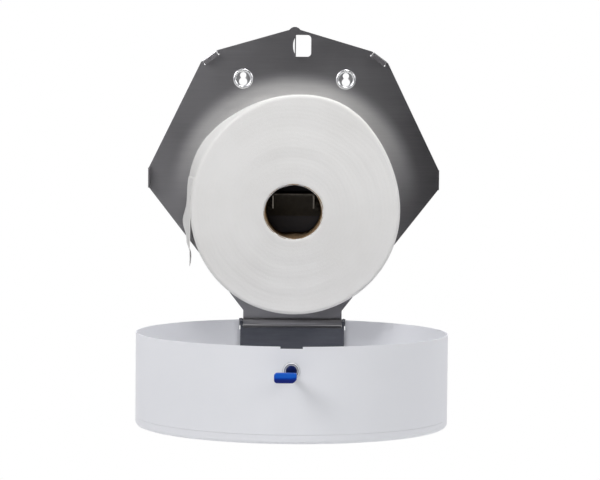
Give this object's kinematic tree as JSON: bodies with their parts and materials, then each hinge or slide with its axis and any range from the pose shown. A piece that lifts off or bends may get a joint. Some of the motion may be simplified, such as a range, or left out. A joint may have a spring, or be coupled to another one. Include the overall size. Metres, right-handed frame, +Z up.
{
  "type": "jumbo toilet roll dispenser",
  "caption": "Wall-mounted steel dispenser for a jumbo toilet roll: dark backplate with a channel spindle and a white drum cover that swings down on a bottom hinge and locks with a key.",
  "frame": {"origin": "on the wall face of the backplate, on the axis of the paper roll", "axes": "+Y into the wall, -Y out towards the user, +X to the user's right, +Z up"},
  "size_m": [0.31, 0.3523, 0.3994],
  "materials": {
    "plate_steel": "dark satin steel sheet",
    "cover_white": "white powder coat, satin",
    "zinc": "bright zinc plate",
    "lock_chrome": "polished chrome",
    "lock_dark": "dark die-cast plug",
    "key_blue": "gloss blue plastic",
    "cardboard": "matt brown cardboard",
    "paper": "soft matt tissue"
  },
  "bodies": {
    "frame": {"backplate": "plate_steel", "keyhole_grommets": "zinc", "spindle": "plate_steel", "spindle_rivets": "zinc"},
    "cover": {"cover_band": "cover_white", "cover_face": "cover_white", "hinge_strap": "plate_steel", "strap_rivets": "zinc", "tear_strips": "zinc", "tear_rivets": "zinc", "hinge_pin": "zinc", "pin_clips": "zinc", "lock_barrel": "lock_chrome", "lock_washer": "zinc", "lock_nut": "zinc"},
    "lock": {"lock_plug": "lock_dark", "lock_cam": "zinc", "cam_washer": "zinc", "cam_screw": "zinc"},
    "key": {"key": "key_blue"},
    "roll": {"roll_core": "cardboard", "paper_roll": "paper", "paper_tail": "paper"}
  },
  "joints": [
    {"name": "cover_hinge", "type": "hinge", "parent": "frame", "child": "cover", "pos_m": [0, -0.0044, -0.12], "axis": [-1, 0, 0], "range_deg": [0, 90]},
    {"name": "lock_turn", "type": "hinge", "parent": "cover", "child": "lock", "pos_m": [0, -0.3154, -0.1392], "axis": [0, -1, 0], "range_deg": [0, 90]},
    {"name": "key_pull", "type": "slide", "parent": "lock", "child": "key", "axis": [0, -1, 0], "range_m": [0, 0.012]},
    {"name": "roll_spin", "type": "hinge", "parent": "frame", "child": "roll", "pos_m": [0, -0.0455, 0], "axis": [0, -1, 0], "continuous": true}
  ]
}
